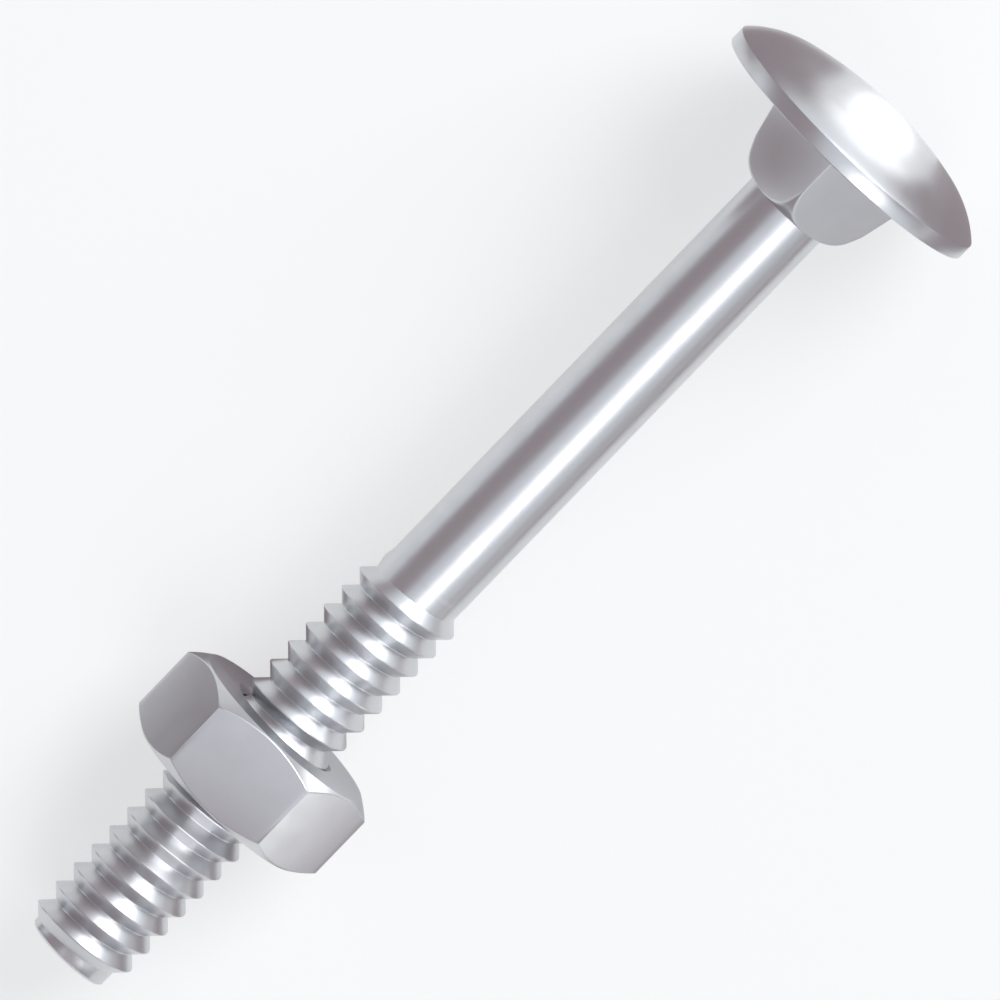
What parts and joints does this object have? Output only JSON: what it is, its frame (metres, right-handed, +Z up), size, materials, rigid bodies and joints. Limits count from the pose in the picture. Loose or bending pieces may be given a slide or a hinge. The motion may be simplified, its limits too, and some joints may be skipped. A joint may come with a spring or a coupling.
{
  "type": "carriage bolt",
  "caption": "Carriage bolt with a low domed head, a drafted square neck, a part-threaded shank and a hexagon nut on the thread.",
  "frame": {"origin": "on the surface the bolt lies on, under the middle of its outline seen from above", "axes": "+X along the lying bolt towards its head, +Z up from the surface. The bolt's own axis rises 3.19 degrees from the tip to the head, because the head is wider than the nut"},
  "size_m": [0.0618, 0.0162, 0.0163],
  "materials": {
    "bolt_steel": "bright zinc plate on cold-forged steel, smooth",
    "nut_steel": "bright zinc plate on cold-forged steel, smooth"
  },
  "bodies": {
    "bolt": {"bolt": "bolt_steel"},
    "nut": {"nut": "nut_steel"}
  },
  "joints": [
    {"name": "nut_travel", "type": "slide", "parent": "bolt", "child": "nut", "axis": [0.9984, 0, 0.0557], "range_m": [-0.0162, 0.0081]}
  ]
}
